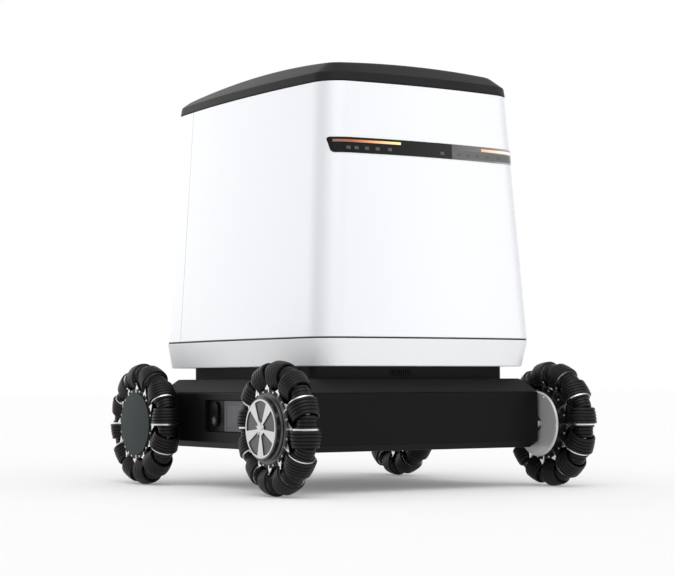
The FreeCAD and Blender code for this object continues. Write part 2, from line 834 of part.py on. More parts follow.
def light_bar():
    """Bezel, clear cover, light strips and sensor windows of the front bar."""
    leds = group([led_block(*span) for span in LED_SPANS])
    windows = group([window_block(x) for x in WINDOW_XS])
    bezel = bar_layer(-BAR_PROUD, 5.0).common(bar_block(0))
    bezel = bezel.cut(bar_layer(-2, 2.0).common(leds.fuse(windows)))
    cover_zone = box(*COVER_SPAN, -400, -160, *COVER_Z)
    bar_windows = bar_layer(-BAR_PROUD + 0.2, 2.0).common(windows)
    bezel = bezel.cut(bar_layer(-2, 2.0).common(cover_zone))
    return {
        "light_bar_bezel": bezel,
        "light_bar_camera_window": bar_layer(-BAR_PROUD + 0.2, 2.0).common(cover_zone.cut(windows)),
        "led_strips": bar_layer(-BAR_PROUD + 0.1, 2.0).common(leds),
        "sensor_lenses": group(bar_windows.Solids + both_sides(side_lens).Solids),
    }


def body_panels():
    """The front shell with its sides, and the rear panel behind the upright seam."""
    ring = shell_ring()
    half_gap = PANEL_GAP / 2
    front = ring.common(box(-400, 400, -500, PANEL_SEAM_Y - half_gap, 200, 900))
    rear = ring.common(box(-400, 400, PANEL_SEAM_Y + half_gap, 500, 200, 900))
    return front.cut(bar_block(0.2)), rear


def cargo_bin():
    outer = box(-BIN_X, BIN_X, BIN_Y0, BIN_Y1, BIN_Z0, BIN_TOP)
    wall = BIN_WALL
    inner = box(-BIN_X + wall, BIN_X - wall, BIN_Y0 + wall, BIN_Y1 - wall, BIN_Z0 + wall, BIN_TOP + 1)
    flange = body_solid(shell_level(BIN_TOP - 3), shell_level(BIN_TOP), BODY_WALL + 1)
    floor_z = SKIRT_LOW[0] + BODY_WALL
    feet = []
    for x in (-165, 165):
        for y in (-200, 220):
            feet.append(box(x - 25, x + 25, y - 25, y + 25, floor_z, BIN_Z0))
    slot = box(-12, 12, LOCK_Y - 16, LOCK_Y + 14, BIN_TOP - 10, BIN_TOP + 1)
    return outer.multiFuse([flange] + feet).cut(inner).cut(slot)


def lid_outline(z, inset):
    return body_outline(raised(SHELL_HIGH, z), inset)


def lid_stack(levels):
    """Joins straight-sided layers through (height, inset) levels."""
    layers = []
    for (z0, in0), (z1, in1) in zip(levels, levels[1:]):
        layers.append(Part.makeLoft([lid_outline(z0, in0), lid_outline(z1, in1)], True, True))
    solid = layers[0]
    for layer in layers[1:]:
        solid = solid.fuse(layer)
    return solid


def lid_dome(depth):
    """The ball whose top crowns the lid, at a depth below the lid's skin."""
    return Part.makeSphere(LID_DOME_R - depth, V(0, LID_DOME_Y, LID_TOP - LID_DOME_R))


def lid_outer():
    levels = [
        (LID_Z0, 0),
        (LID_WALL_TOP, LID_LEAN),
        (LID_SLOPE_TOP, LID_SLOPE_IN),
        (LID_TOP + 5, LID_SLOPE_IN),
    ]
    return lid_stack(levels).common(lid_dome(0))


def lid():
    wall = LID_THICKNESS
    rim_top = LID_Z0 + 5
    levels = [
        (rim_top, wall + 1),
        (LID_WALL_TOP - 2, wall + LID_LEAN),
        (LID_SLOPE_TOP - 2, wall + LID_SLOPE_IN),
    ]
    mouth = Part.makeLoft([lid_outline(LID_Z0 - 1, LID_RIM), lid_outline(rim_top + 0.5, LID_RIM)], True, True)
    hollow = lid_stack(levels).common(lid_dome(wall)).fuse(mouth)
    tongue = box(-8, 8, LOCK_Y - 11, LOCK_Y + 9, LOCK_Z - 9, LID_Z0 + 6)
    eye = rod(BOLT_R + 1.0, V(-10, LOCK_Y, LOCK_Z), V(10, LOCK_Y, LOCK_Z))
    return lid_outer().cut(hollow).fuse(tongue.cut(eye))


def lid_seal():
    low = shell_level(BIN_TOP)
    high = raised(low, LID_Z0 - 0.4)
    return body_solid(low, high, BODY_WALL + 1.5).cut(body_solid(low, high, BODY_WALL + 6.5))


def hinge_knuckle(x0, x1):
    return rod(KNUCKLE_R, V(x0, HINGE_Y, HINGE_Z), V(x1, HINGE_Y, HINGE_Z))


def hinge_bore(x, radius):
    return rod(radius, V(x - 40, HINGE_Y, HINGE_Z), V(x + 40, HINGE_Y, HINGE_Z))


def hinge_bracket(x, body):
    """Fixed half: a leaf on the rear panel and two knuckles."""
    pieces = []
    for x0 in (x - 30, x + 12):
        pieces.append(hinge_knuckle(x0, x0 + 18))
        pieces.append(box(x0, x0 + 18, HINGE_Y - 12, HINGE_Y - 2, HINGE_Z - 14, HINGE_Z - 2))
        pieces.append(box(x0, x0 + 18, HINGE_Y - 4, HINGE_Y + 3, HINGE_Z - 8, HINGE_Z - 2))
    leaf = box(x - 30, x + 30, HINGE_Y - 14, HINGE_Y - 4.5, HINGE_Z - 44, HINGE_Z - 8)
    return leaf.multiFuse(pieces).cut(body).cut(hinge_bore(x, HINGE_PIN_R)).removeSplitter()


def hinge_arm(x, lid_body):
    """Moving half: one knuckle and a strap on the lid's rear wall."""
    strap = box(x - 11, x + 11, HINGE_Y - 14, HINGE_Y - 3, LID_Z0 + 1, LID_WALL_TOP - 3)
    web = box(x - 11, x + 11, HINGE_Y - 5.5, HINGE_Y - 1, HINGE_Z + 1, LID_Z0 + 6)
    arm = hinge_knuckle(x - 11, x + 11).multiFuse([strap, web])
    return arm.cut(lid_body).cut(hinge_bore(x, HINGE_PIN_R + RUNNING_GAP)).removeSplitter()


def lock_housing():
    block = box(-62, -14, LOCK_Y - 8, LOCK_Y + 8, LOCK_Z - 8, BIN_TOP - 3)
    return block.cut(rod(BOLT_R + RUNNING_GAP, V(-56, LOCK_Y, LOCK_Z), V(-13, LOCK_Y, LOCK_Z)))


def lock_bolt():
    return rod(BOLT_R, V(-52, LOCK_Y, LOCK_Z), V(-12, LOCK_Y, LOCK_Z))


def lid_nodes():
    body = body_solid(SHELL_LOW, SHELL_HIGH, 0)
    lid_body = lid_outer()
    pins = [rod(HINGE_PIN_R, V(x - 31, HINGE_Y, HINGE_Z), V(x + 31, HINGE_Y, HINGE_Z)) for x in HINGE_XS]
    return {
        "lid": lid(),
        "lid_seal": lid_seal(),
        "lid_hinge_brackets": group([hinge_bracket(x, body) for x in HINGE_XS]),
        "lid_hinge_pins": group(pins),
        "lid_hinge_arms": group([hinge_arm(x, lid_body) for x in HINGE_XS]),
        "lid_lock_housing": lock_housing(),
        "lid_lock_bolt": lock_bolt(),
    }


def body_nodes():
    front, rear = body_panels()
    nodes = {
        "body_skirt": body_skirt(),
        "seam_gasket": seam_gasket(),
        "body_shell": front,
        "rear_panel": rear,
        "cargo_bin": cargo_bin(),
    }
    nodes.update(light_bar())
    nodes.update(lid_nodes())
    return nodes


def main():
    os.makedirs("parts", exist_ok=True)
    nodes = {}
    nodes.update(wheel_nodes())
    nodes.update(drive_nodes())
    nodes.update(chassis_nodes())
    nodes.update(body_nodes())
    for name, shape in nodes.items():
        shape.exportStep("parts/" + name + ".step")
    print(len(nodes), "nodes")


main()
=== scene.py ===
import json
import math

import bmesh
import bpy
from mathutils import Matrix, Vector


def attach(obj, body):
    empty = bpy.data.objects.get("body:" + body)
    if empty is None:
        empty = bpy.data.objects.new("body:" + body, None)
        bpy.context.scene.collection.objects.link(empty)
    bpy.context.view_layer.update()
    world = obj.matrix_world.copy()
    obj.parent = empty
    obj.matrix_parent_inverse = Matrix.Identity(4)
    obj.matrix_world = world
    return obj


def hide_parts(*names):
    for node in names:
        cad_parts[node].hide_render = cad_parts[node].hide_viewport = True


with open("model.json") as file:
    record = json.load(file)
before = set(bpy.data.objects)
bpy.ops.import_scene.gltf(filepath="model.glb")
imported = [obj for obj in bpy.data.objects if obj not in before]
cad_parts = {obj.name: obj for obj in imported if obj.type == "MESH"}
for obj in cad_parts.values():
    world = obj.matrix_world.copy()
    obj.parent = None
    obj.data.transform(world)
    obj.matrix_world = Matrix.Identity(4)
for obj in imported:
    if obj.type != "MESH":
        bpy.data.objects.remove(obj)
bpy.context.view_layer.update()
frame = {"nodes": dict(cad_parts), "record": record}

NODES = frame["nodes"]

# Sizes are in metres, in the frame's own axes: +Z up, the front faces -Y, the robot's right is -X.
WHEEL_X = 0.326
WHEEL_Y = 0.275
WHEEL_R = 0.127
HUB_DISC = 0.0390
HUB_NOSE = 0.0246
PLATE_STEP = 30
LIVE_PLATES = {"a": -90, "b": -120}
BIG_AXIS_R = 0.097
BIG_SPAN = (0.0018, 0.034)
BIG_HOLLOW_R = 0.022
BIG_HOLLOW_START = 0.017
BIG_BORE_R = 0.0051
SMALL_AXIS_R = 0.102
BIG_RIBS = 5
SMALL_STATIONS = (0.0018, 0.0060, 0.0125, 0.0195, 0.027)
SMALL_RADII = [
    (0.0, 0.022),
    (0.005, 0.0215),
    (0.0075, 0.0189),
    (0.012, 0.0193),
    (0.020, 0.019),
    (0.027, 0.0168),
]
SMALL_BORE_R = 0.0041
GROOVE_DEPTH = 0.0022
SMALL_GROOVE_DEPTH = GROOVE_DEPTH * 0.8
BIG_RIB_STEPS = 8
SMALL_RIB_STEPS = 7
HOLLOW_LIP = 0.003
LIP_DROP = 0.0012
LIP_EDGE = 0.0008
LIP_FLARE = 0.0004
ROLLER_SIDES = 36
PLATES = 12
AXLE_HOLE_R = 0.0105
CORNERS = {
    "front_right": (-1, -1),
    "front_left": (1, -1),
    "rear_right": (-1, 1),
    "rear_left": (1, 1),
}

# Body levels: height, half width, front, rear, corner radius
SKIRT_LOW = (0.2437, 0.262, -0.328, 0.352, 0.056)
SKIRT_HIGH = (0.296, 0.274, -0.338, 0.353, 0.062)
SHELL_LOW = (0.299, 0.274, -0.338, 0.353, 0.062)
SHELL_HIGH = (0.790, 0.241, -0.3065, 0.352, 0.060)
FRONT_BOW_R = 1.3
SIDE_BOW_R = 2.6
REAR_BOW_R = 3.0
WALL = 0.004
SHELL_EDGE_R = 0.0016
SKIRT_EDGE_R = 0.0022
SKIRT_FLOOR_IN = 0.06
SKIRT_SEAM_Z = (0.2965, 0.2985)
SEAM_Y = 0.232
SEAM_HALF = 0.0006
LID_Z0 = 0.791
LID_WALL_TOP = 0.8085
LID_LEAN = 0.003
LID_RISE = 0.736
LID_TOP = 0.849
LID_DOME_R = 2.66
LID_DOME_Y = -0.011
LID_THICKNESS = 0.004
LID_RIM = 0.012
LID_LIP = 0.005
LID_EDGE_R = 0.003
LID_BLEND = 0.004
LID_SLOPE_START = 0.004
LID_SLOPE_STEP = 0.0028
LID_SLOPE_RINGS = 18
LID_TOP_SHARES = (0.94, 0.86, 0.76, 0.64, 0.50, 0.36, 0.22, 0.10)
TONGUE_LOW = Vector((-0.008, -0.295, 0.765))
TONGUE_HIGH = Vector((0.008, -0.275, 0.797))
TONGUE_EDGE_R = 0.003
EYE_Y = -0.284
EYE_Z = 0.774
EYE_R = 0.005
EYE_HALF = 0.01

# Chassis
CHASSIS_X = 0.282
CHASSIS_Y = 0.292
CHASSIS_CORNER = 0.009
CHASSIS_Z0 = 0.080
BEVEL_TOP = 0.093
BEVEL_IN = 0.013
TUB_TOP = 0.1925
DECK_Z = 0.2195
DECK_INSET = 0.029
RECESS_Y = 0.090
RECESS_Z = (0.113, 0.178)
RECESS_DEPTH = 0.010
RECESS_CORNER = 0.005
TRAY_PLAY = 0.0005
TRAY_WALL = 0.003
TRAY_CORNER = 0.0055
TRAY_OUTER_CORNER = 0.008
TUB_EDGE_R = 0.0022
TUB_FLOOR_IN = 0.10
COVER_EDGE_R = 0.0026
COVER_TOP_IN = 0.12
COVER_GAP = 0.0004


# ---------------------------------------------------------------- materials


def shader_of(material):
    return material.node_tree.nodes["Principled BSDF"]


def principled(name, **values):
    """A new material, with constant values set on its shader's own sockets."""
    material = bpy.data.materials.new(name)
    material.use_nodes = True
    for key, value in values.items():
        shader_of(material).inputs[key.replace("_", " ")].default_value = value
    return material


def add_node(material, kind, **settings):
    node = material.node_tree.nodes.new(kind)
    for key, value in settings.items():
        setattr(node, key, value)
    return node


def noise(material, scale, detail=4.0, stretch=(1, 1, 1)):
    """Noise over the object's own coordinates. Returns its value socket."""
    links = material.node_tree.links
    coords = add_node(material, "ShaderNodeTexCoord")
    mapping = add_node(material, "ShaderNodeMapping")
    mapping.inputs["Scale"].default_value = stretch
    texture = add_node(material, "ShaderNodeTexNoise")
    texture.inputs["Scale"].default_value = scale
    texture.inputs["Detail"].default_value = detail
    links.new(coords.outputs["Object"], mapping.inputs["Vector"])
    links.new(mapping.outputs["Vector"], texture.inputs["Vector"])
    return texture.outputs["Fac"]


def vary_colour(material, source, dark, light, low=0.3, high=0.7):
    """Base colour from dark to light as a value goes from low to high. Returns the ramp."""
    ramp = add_node(material, "ShaderNodeValToRGB")
    ramp.color_ramp.elements[0].position = low
    ramp.color_ramp.elements[0].color = (*dark, 1)
    ramp.color_ramp.elements[1].position = high
    ramp.color_ramp.elements[1].color = (*light, 1)
    links = material.node_tree.links
    links.new(source, ramp.inputs["Fac"])
    links.new(ramp.outputs["Color"], shader_of(material).inputs["Base Color"])
    return ramp


def vary_roughness(material, source, low, high):
    """Roughness from low to high as a value goes from 0 to 1."""
    spread = add_node(material, "ShaderNodeMapRange")
    spread.inputs["To Min"].default_value = low
    spread.inputs["To Max"].default_value = high
    links = material.node_tree.links
    links.new(source, spread.inputs["Value"])
    links.new(spread.outputs["Result"], shader_of(material).inputs["Roughness"])


def add_bump(material, source, strength, distance):
    """Fine relief from a value."""
    bump = add_node(material, "ShaderNodeBump")
    bump.inputs["Strength"].default_value = strength
    bump.inputs["Distance"].default_value = distance
    links = material.node_tree.links
    links.new(source, bump.inputs["Height"])
    links.new(bump.outputs["Normal"], shader_of(material).inputs["Normal"])


def surface(name, dark, light, rough, grain, bump=0.0, cloud=6.0, stretch=(1, 1, 1), **values):
    """A material with soft colour clouds, uneven gloss and, if asked, a fine relief."""
    material = principled(name, **values)
    clouds = noise(material, cloud, 3.0)
    fine = noise(material, grain, 5.0, stretch)
    vary_colour(material, clouds, dark, light)
    vary_roughness(material, fine, *rough)
    if bump:
        add_bump(material, fine, 0.5, bump)
    return material


def grey(value, blue=0.0):
    return (value, value, value + blue)


MATERIALS = {
    "lid_black": surface(
        "lid_black", grey(0.011), grey(0.015), (0.42, 0.50), 900, 0.00006, Specular_IOR_Level=0.14,
    ),
    "black_metal": surface(
        "black_metal", grey(0.004), grey(0.006), (0.30, 0.42), 500, 0.00005, Specular_IOR_Level=0.2,
    ),
    "roller_rubber": surface(
        "roller_rubber", grey(0.0035), grey(0.0060), (0.28, 0.42), 420, 0.00010, Specular_IOR_Level=0.22,
    ),
    "rear_cap_black": surface(
        "rear_cap_black", (0.011, 0.017, 0.018), (0.015, 0.021, 0.022), (0.40, 0.52), 260, 0.00012,
        stretch=(1, 1, 0.12), Specular_IOR_Level=0.2,
    ),
    "plate_steel": surface(
        "plate_steel", grey(0.72), grey(0.80), (0.16, 0.28), 350, 0.00003, Metallic=1.0,
    ),
    "fastener_steel": surface(
        "fastener_steel", grey(0.66), grey(0.78), (0.22, 0.34), 400, 0.00003, Metallic=0.6,
    ),
    "axle_steel": surface(
        "axle_steel", grey(0.48), grey(0.58), (0.22, 0.34), 400, 0.00003, stretch=(0.1, 1, 1), Metallic=1.0,
    ),
    "stator_iron": surface(
        "stator_iron", (0.20, 0.09, 0.04), (0.32, 0.15, 0.06), (0.35, 0.5), 500, 0.00010,
        stretch=(6, 1, 1), Metallic=0.8,
    ),
    "clamp_aluminium": surface(
        "clamp_aluminium", grey(0.50), grey(0.58), (0.36, 0.48), 900, 0.00006, Metallic=1.0,
    ),
    "side_panel_grey": surface(
        "side_panel_grey", grey(0.075, 0.008), grey(0.09, 0.009), (0.34, 0.44), 800, 0.00006,
    ),
    "sensor_black": surface(
        "sensor_black", grey(0.003), grey(0.005), (0.16, 0.24), 700, 0.00003, Specular_IOR_Level=0.12,
    ),
    "battery_case": surface(
        "battery_case", grey(0.035, 0.004), grey(0.05, 0.004), (0.42, 0.55), 900, 0.00015,
    ),
    "seal_rubber": surface(
        "seal_rubber", grey(0.010), grey(0.016), (0.50, 0.65), 700, 0.00010,
    ),
    "bin_grey": surface(
        "bin_grey", grey(0.20, 0.006), grey(0.235, 0.006), (0.42, 0.54), 700, 0.00012,
    ),
    "window_grey": surface(
        "window_grey", grey(0.085, 0.004), grey(0.10, 0.005), (0.08, 0.13), 500, 0.0, Coat_Weight=0.2,
    ),
    "lens_dark": surface(
        "lens_dark", grey(0.035), grey(0.045), (0.08, 0.14), 500, 0.0, Coat_Weight=0.6,
    ),
}


def step_along(material, axis, low, high, absolute=False):
    """0 below one place on an axis of the frame, 1 beyond the other. Returns its value socket."""
    links = material.node_tree.links
    coords = add_node(material, "ShaderNodeTexCoord")
    split = add_node(material, "ShaderNodeSeparateXYZ")
    spread = add_node(material, "ShaderNodeMapRange")
    spread.inputs["From Min"].default_value = low
    spread.inputs["From Max"].default_value = high
    links.new(coords.outputs["Object"], split.inputs["Vector"])
    value = split.outputs[axis]
    if absolute:
        size = add_node(material, "ShaderNodeMath", operation="ABSOLUTE")
        links.new(value, size.inputs[0])
        value = size.outputs[0]
    links.new(value, spread.inputs["Value"])
    return spread.outputs["Result"]


def body_material():
    """Glossy white, with the gloss broken on the skirt band below the seam, where the same paint is also
    painted a touch darker and less blue as painted shade.
    """
    material = principled(
        "body_white", IOR=1.5, Coat_Weight=0.3, Coat_IOR=1.5, Coat_Roughness=0.12,
    )
    shell = step_along(material, "Z", *SKIRT_SEAM_Z)
    # Painted shade: the skirt band below the seam gets a slightly darker, less blue base colour than the
    # shell, though it is the same paint.
    vary_colour(material, shell, (0.80, 0.81, 0.83), (0.815, 0.83, 0.858), 0.0, 1.0)
    vary_roughness(material, shell, 0.50, 0.16)
    spread = add_node(material, "ShaderNodeMapRange")
    spread.inputs["To Max"].default_value = 0.22
    links = material.node_tree.links
    links.new(shell, spread.inputs["Value"])
    links.new(spread.outputs["Result"], shader_of(material).inputs["Metallic"])
    add_bump(material, noise(material, 380, 2), 0.25, 0.00001)
    return material


def chassis_material():
    """Satin black tub, and a paler matt black on the cover and plinth above it."""
    material = principled("chassis_black", Specular_IOR_Level=0.10)
    above = step_along(material, "Z", TUB_TOP, TUB_TOP + 0.0005)
    vary_colour(material, above, grey(0.0045), grey(0.022), 0.0, 1.0)
    vary_roughness(material, above, 0.36, 0.60)
    add_bump(material, noise(material, 800), 0.4, 0.00006)
    return material


def bar_material():
    """Piano black, smoked grey on the left half in front of the cameras."""
    material = principled("bar_black", Coat_Weight=0.12, Coat_Roughness=0.05, Specular_IOR_Level=0.1)
    across = step_along(material, "X", -0.2, 0.212)
    ramp = vary_colour(material, across, (0.006, 0.0055, 0.005), (0.45, 0.44, 0.45), 0.0, 1.0)
    for place, value in ((0.30, 0.010), (0.605, 0.022), (0.608, 0.125), (0.85, 0.21)):
        ramp.color_ramp.elements.new(place).color = (value, value, value, 1)
    vary_roughness(material, noise(material, 300), 0.05, 0.09)
    return material


def hub_material():
    """Satin aluminium disc inboard, black rim, grey flange and a dark polished nose outboard."""
    material = principled("hub_aluminium")
    disc, nose = WHEEL_X - HUB_DISC, WHEEL_X + HUB_NOSE
    along = step_along(material, "X", disc, nose, absolute=True)
    ramp = vary_colour(material, along, grey(0.56, 0.01), grey(0.10, 0.002), 0.0, 1.0)
    stops = (
        (disc + 0.0031, 0.56),
        (disc + 0.0034, 0.012),
        (WHEEL_X + 0.012, 0.012),
        (WHEEL_X + 0.013, 0.38),
        (nose - 0.0006, 0.38),
    )
    for place, value in stops:
        ramp.color_ramp.elements.new((place - disc) / (nose - disc)).color = (value, value, value, 1)
    metal = add_node(material, "ShaderNodeMapRange")
    metal.inputs["From Min"].default_value = 0.9
    metal.inputs["To Min"].default_value = 0.4
    material.node_tree.links.new(along, metal.inputs["Value"])
    material.node_tree.links.new(metal.outputs["Result"], shader_of(material).inputs["Metallic"])
    vary_roughness(material, noise(material, 300, 4, (0.15, 1, 1)), 0.24, 0.36)
    add_bump(material, noise(material, 260), 0.4, 0.00002)
    return material


def cap_material():
    """Front hub cap: bright spun face, and dark grey on everything sunk below it."""
    material = principled("hub_cap", Metallic=1.0)
    face = WHEEL_X + 0.0384
    step = step_along(material, "X", face - 0.0002, face, absolute=True)
    vary_colour(material, step, grey(0.13), grey(0.62), 0.1, 0.9)
    vary_roughness(material, step, 0.45, 0.22)
    add_bump(material, noise(material, 300), 0.4, 0.00002)
    return material


# place between the strips' outer ends, and colour
LED_GLOW = (
    (0.085, (0.22, 0.065, 0.025)), (0.17, (0.42, 0.17, 0.07)), (0.25, (0.62, 0.35, 0.17)),
    (0.315, (0.60, 0.50, 0.19)), (0.335, (0.56, 0.46, 0.20)), (0.79, (0.60, 0.28, 0.16)),
)


def led_material():
    """Lit strips: dim orange to yellow inwards on the right, pale on the left."""
    material = principled("led_orange", Roughness=0.3, Emission_Strength=1.0)
    across = step_along(material, "X", -0.213, 0.213)
    ramp = vary_colour(material, across, (0.11, 0.07, 0.06), (0.75, 0.58, 0.50), 0.0, 1.0)
    for place, colour in LED_GLOW:
        ramp.color_ramp.elements.new(place).color = (*colour, 1)
    material.node_tree.links.new(ramp.outputs["Color"], shader_of(material).inputs["Emission Color"])
    return material


MATERIALS["body_white"] = body_material()
MATERIALS["chassis_black"] = chassis_material()
MATERIALS["bar_black"] = bar_material()
MATERIALS["hub_cap"] = cap_material()
MATERIALS["hub_aluminium"] = hub_material()
MATERIALS["led_orange"] = led_material()


# ---------------------------------------------------------------- mesh helpers


def new_piece(name, bm, material, body, slot, *replaced):
    """Turns a bmesh into a shown piece that rides on a body and stands for CAD nodes."""
    bmesh.ops.recalc_face_normals(bm, faces=bm.faces)
    mesh = bpy.data.meshes.new(name)
    bm.to_mesh(mesh)
    bm.free()
    piece = bpy.data.objects.new(name, mesh)
    bpy.context.scene.collection.objects.link(piece)
    mesh.materials.append(MATERIALS[material])
    smooth(piece)
    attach(piece, body)
    if replaced:
        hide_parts(*replaced)
    return piece


def smooth(piece, angle=32):
    piece.data.shade_smooth()
    piece.data.set_sharp_from_angle(angle=math.radians(angle))


def weighted(piece):
    """Keeps flat faces flat where they meet small rounded edges."""
    modifier = piece.modifiers.new("flat_faces", "WEIGHTED_NORMAL")
    modifier.keep_sharp = True


def loft(bm, rings, closed=True, loop=False, caps=False):
    """Skins rings of points. closed joins each ring's ends; loop joins the last ring to the first."""
    made = [[bm.verts.new(point) for point in ring] for ring in rings]
    count = len(made[0])
    pairs = list(zip(made, made[1:]))
    if loop:
        pairs.append((made[-1], made[0]))
    for lower, upper in pairs:
        for i in range(count if closed else count - 1):
            j = (i + 1) % count
            bm.faces.new((lower[i], lower[j], upper[j], upper[i]))
    if caps and closed:
        bm.faces.new(made[0])
        bm.faces.new(made[-1])
    if caps and not closed:
        bm.faces.new([ring[0] for ring in made])
        bm.faces.new([ring[-1] for ring in made])


def loft_along_x(bm, sections):
    """Closed solid through sections given as (x, outline in y and z)."""
    loft(bm, [[(x, y, z) for y, z in outline] for x, outline in sections], caps=True)


def rounded(points, radius, closed=True, steps=4):
    """Replaces each corner of a chain of 2-D points by a short curve."""
    result = []
    count = len(points)
    for i, corner in enumerate(points):
        if not closed and i in (0, count - 1):
            result.append(corner)
            continue
        corner = Vector(corner)
        before = Vector(points[i - 1]) - corner
        after = Vector(points[(i + 1) % count]) - corner
        reach = min(radius, before.length * 0.45, after.length * 0.45)
        start = corner + before.normalized() * reach
        end = corner + after.normalized() * reach
        for step in range(steps + 1):
            t = step / steps
            result.append(tuple(start * (1 - t) ** 2 + corner * 2 * t * (1 - t) + end * t**2))
    return result


def box_outline(y0, y1, z0, z1, radius):
    """Rounded rectangle in the YZ plane."""
    return rounded([(y0, z0), (y1, z0), (y1, z1), (y0, z1)], radius)


# ---------------------------------------------------------------- body outline


def circle_meet(c0, r0, c1, r1, near):
    """Of the two points where two circles cross, the one nearer to a given point."""
    line = c1 - c0
    along = (line.length_squared + r0 * r0 - r1 * r1) / (2 * line.length)
    off = math.sqrt(r0 * r0 - along * along)
    foot = c0 + line.normalized() * along
    normal = Vector((-line.y, line.x)).normalized()
    return min((foot + normal * off, foot - normal * off), key=lambda p: (p - near).length)


def arc(centre, start, end, count):
    """Points on a circle from start towards end, without the end."""
    a0 = math.atan2(start.y - centre.y, start.x - centre.x)
    a1 = math.atan2(end.y - centre.y, end.x - centre.x)
    radius = (start - centre).length
    turn = (a1 - a0 + math.pi) % (2 * math.pi) - math.pi
    angles = [a0 + turn * i / count for i in range(count)]
    return [centre + Vector((math.cos(a), math.sin(a))) * radius for a in angles]


def half_outline(level, inset):
    """The +X half of the body's plan from front middle to rear middle, and the seam's index."""
    z, half_x, front, rear, corner = level
    half_x, front, rear, corner = half_x - inset, front + inset, rear - inset, corner - inset
    middle = (front + rear) / 2
    front_c = Vector((0, front + FRONT_BOW_R - inset))
    rear_c = Vector((0, rear - REAR_BOW_R + inset))
    side_r = SIDE_BOW_R - inset
    side_c = Vector((half_x - side_r, middle))

    def corner_points(end_c, end_r, near):
        c = circle_meet(end_c, end_r - corner, side_c, side_r - corner, near)
        return c, end_c + (c - end_c).normalized() * end_r, side_c + (c - side_c).normalized() * side_r

    fc, f_end, f_side = corner_points(front_c, FRONT_BOW_R - inset, Vector((half_x, front)))
    rc, r_end, r_side = corner_points(rear_c, REAR_BOW_R - inset, Vector((half_x, rear)))
    seam = Vector((side_c.x + math.sqrt(side_r**2 - (SEAM_Y - middle) ** 2), SEAM_Y))
    points = arc(front_c, Vector((0, front)), f_end, 10)
    points += arc(fc, f_end, f_side, 14)
    points += arc(side_c, f_side, seam, 16)
    seam_index = len(points)
    points += arc(side_c, seam, r_side, 3)
    points += arc(rc, r_side, r_end, 14)
    points += arc(rear_c, r_end, Vector((0, rear)), 8)
    points.append(Vector((0, rear)))
    return points, seam_index


def ring_points(level, inset, z):
    """The whole plan outline at a height."""
    half, seam = half_outline(level, inset)
    left = [Vector((-p.x, p.y)) for p in reversed(half[1:-1])]
    return [(p.x, p.y, z) for p in half + left]


def front_points(level, inset, z):
    """The outline from the left seam round the front to the right seam."""
    half, seam = half_outline(level, inset)
    right = half[: seam + 1]
    right[-1] = Vector((right[-1].x, SEAM_Y - SEAM_HALF))
    left = [Vector((-p.x, p.y)) for p in reversed(right[1:])]
    return [(p.x, p.y, z) for p in left + right]


def rear_points(level, inset, z):
    """The outline from the right seam round the rear to the left seam."""
    half, seam = half_outline(level, inset)
    right = half[seam:]
    right[0] = Vector((right[0].x, SEAM_Y + SEAM_HALF))
    left = [Vector((-p.x, p.y)) for p in reversed(right[:-1])]
    return [(p.x, p.y, z) for p in right + left]


def between(low, high, z):
    share = (z - low[0]) / (high[0] - low[0])
    return tuple(a + (b - a) * share for a, b in zip(low, high))


def shell_level(z):
    return between(SHELL_LOW, SHELL_HIGH, z)


# ---------------------------------------------------------------- body


def wall_section(z0, z1, wall, radius):
    """Closed wall section as (height, inset) points with rounded outer edges."""
    return rounded([(z0, 0.0), (z1, 0.0), (z1, wall), (z0, wall)], radius)


def make_shell():
    """Front shell and rear panel, with the two upright seams between them."""
    section = wall_section(SHELL_LOW[0], SHELL_HIGH[0], WALL, SHELL_EDGE_R)
    for name, points, node in (
        ("front_shell", front_points, "body_shell"),
        ("rear_shell", rear_points, "rear_panel"),
    ):
        bm = bmesh.new()
        rings = [points(shell_level(z), inset, z) for z, inset in section]
        loft(bm, rings, closed=False, loop=True, caps=True)
        weighted(new_piece(name, bm, "body_white", "chassis", "body_white", node))


def make_skirt():
    """White band below the seam strip, turned in at its lower edge."""
    top = SKIRT_HIGH[0]
    base = SKIRT_LOW[0]
    chain = [
        (base, SKIRT_FLOOR_IN),
        (base, 0.0),
        (top, 0.0),
        (top, WALL),
        (base + WALL, WALL),
        (base + WALL, SKIRT_FLOOR_IN),
    ]
    chain = rounded(chain, SKIRT_EDGE_R, closed=False)
    bm = bmesh.new()
    rings = [ring_points(between(SKIRT_LOW, SKIRT_HIGH, z), inset, z) for z, inset in chain]
    loft(bm, rings, caps=True)
    weighted(new_piece("skirt_band", bm, "body_white", "chassis", "body_white", "body_skirt"))


def lid_height(x, y, inset, depth):
    """Height of the lid's sloped and crowned skin, a depth below its outside."""
    slope = LID_WALL_TOP + (inset - LID_LEAN - depth) * LID_RISE
    reach = LID_DOME_R - depth
    dome = LID_TOP - LID_DOME_R + math.sqrt(reach**2 - x * x - (y - LID_DOME_Y) ** 2)
    gap = max(LID_BLEND - abs(slope - dome), 0) / LID_BLEND
    return min(slope, dome) - LID_BLEND * gap**2 / 4


def lid_skin(depth):
    """Rings of the lid's top skin from the rim inwards."""
    rings = []
    start = LID_LEAN + depth + LID_SLOPE_START
    for inset in [start + LID_SLOPE_STEP * step for step in range(LID_SLOPE_RINGS)]:
        outline = ring_points(SHELL_HIGH, inset, 0)
        rings.append([(x, y, lid_height(x, y, inset, depth)) for x, y, z in outline])
    middle_y = (SHELL_HIGH[2] + SHELL_HIGH[3]) / 2
    edge = rings[-1]
    for share in LID_TOP_SHARES:
        ring = []
        for x, y, z in edge:
            px, py = x * share, middle_y + (y - middle_y) * share
            ring.append((px, py, lid_height(px, py, 1, depth)))
        rings.append(ring)
    return rings


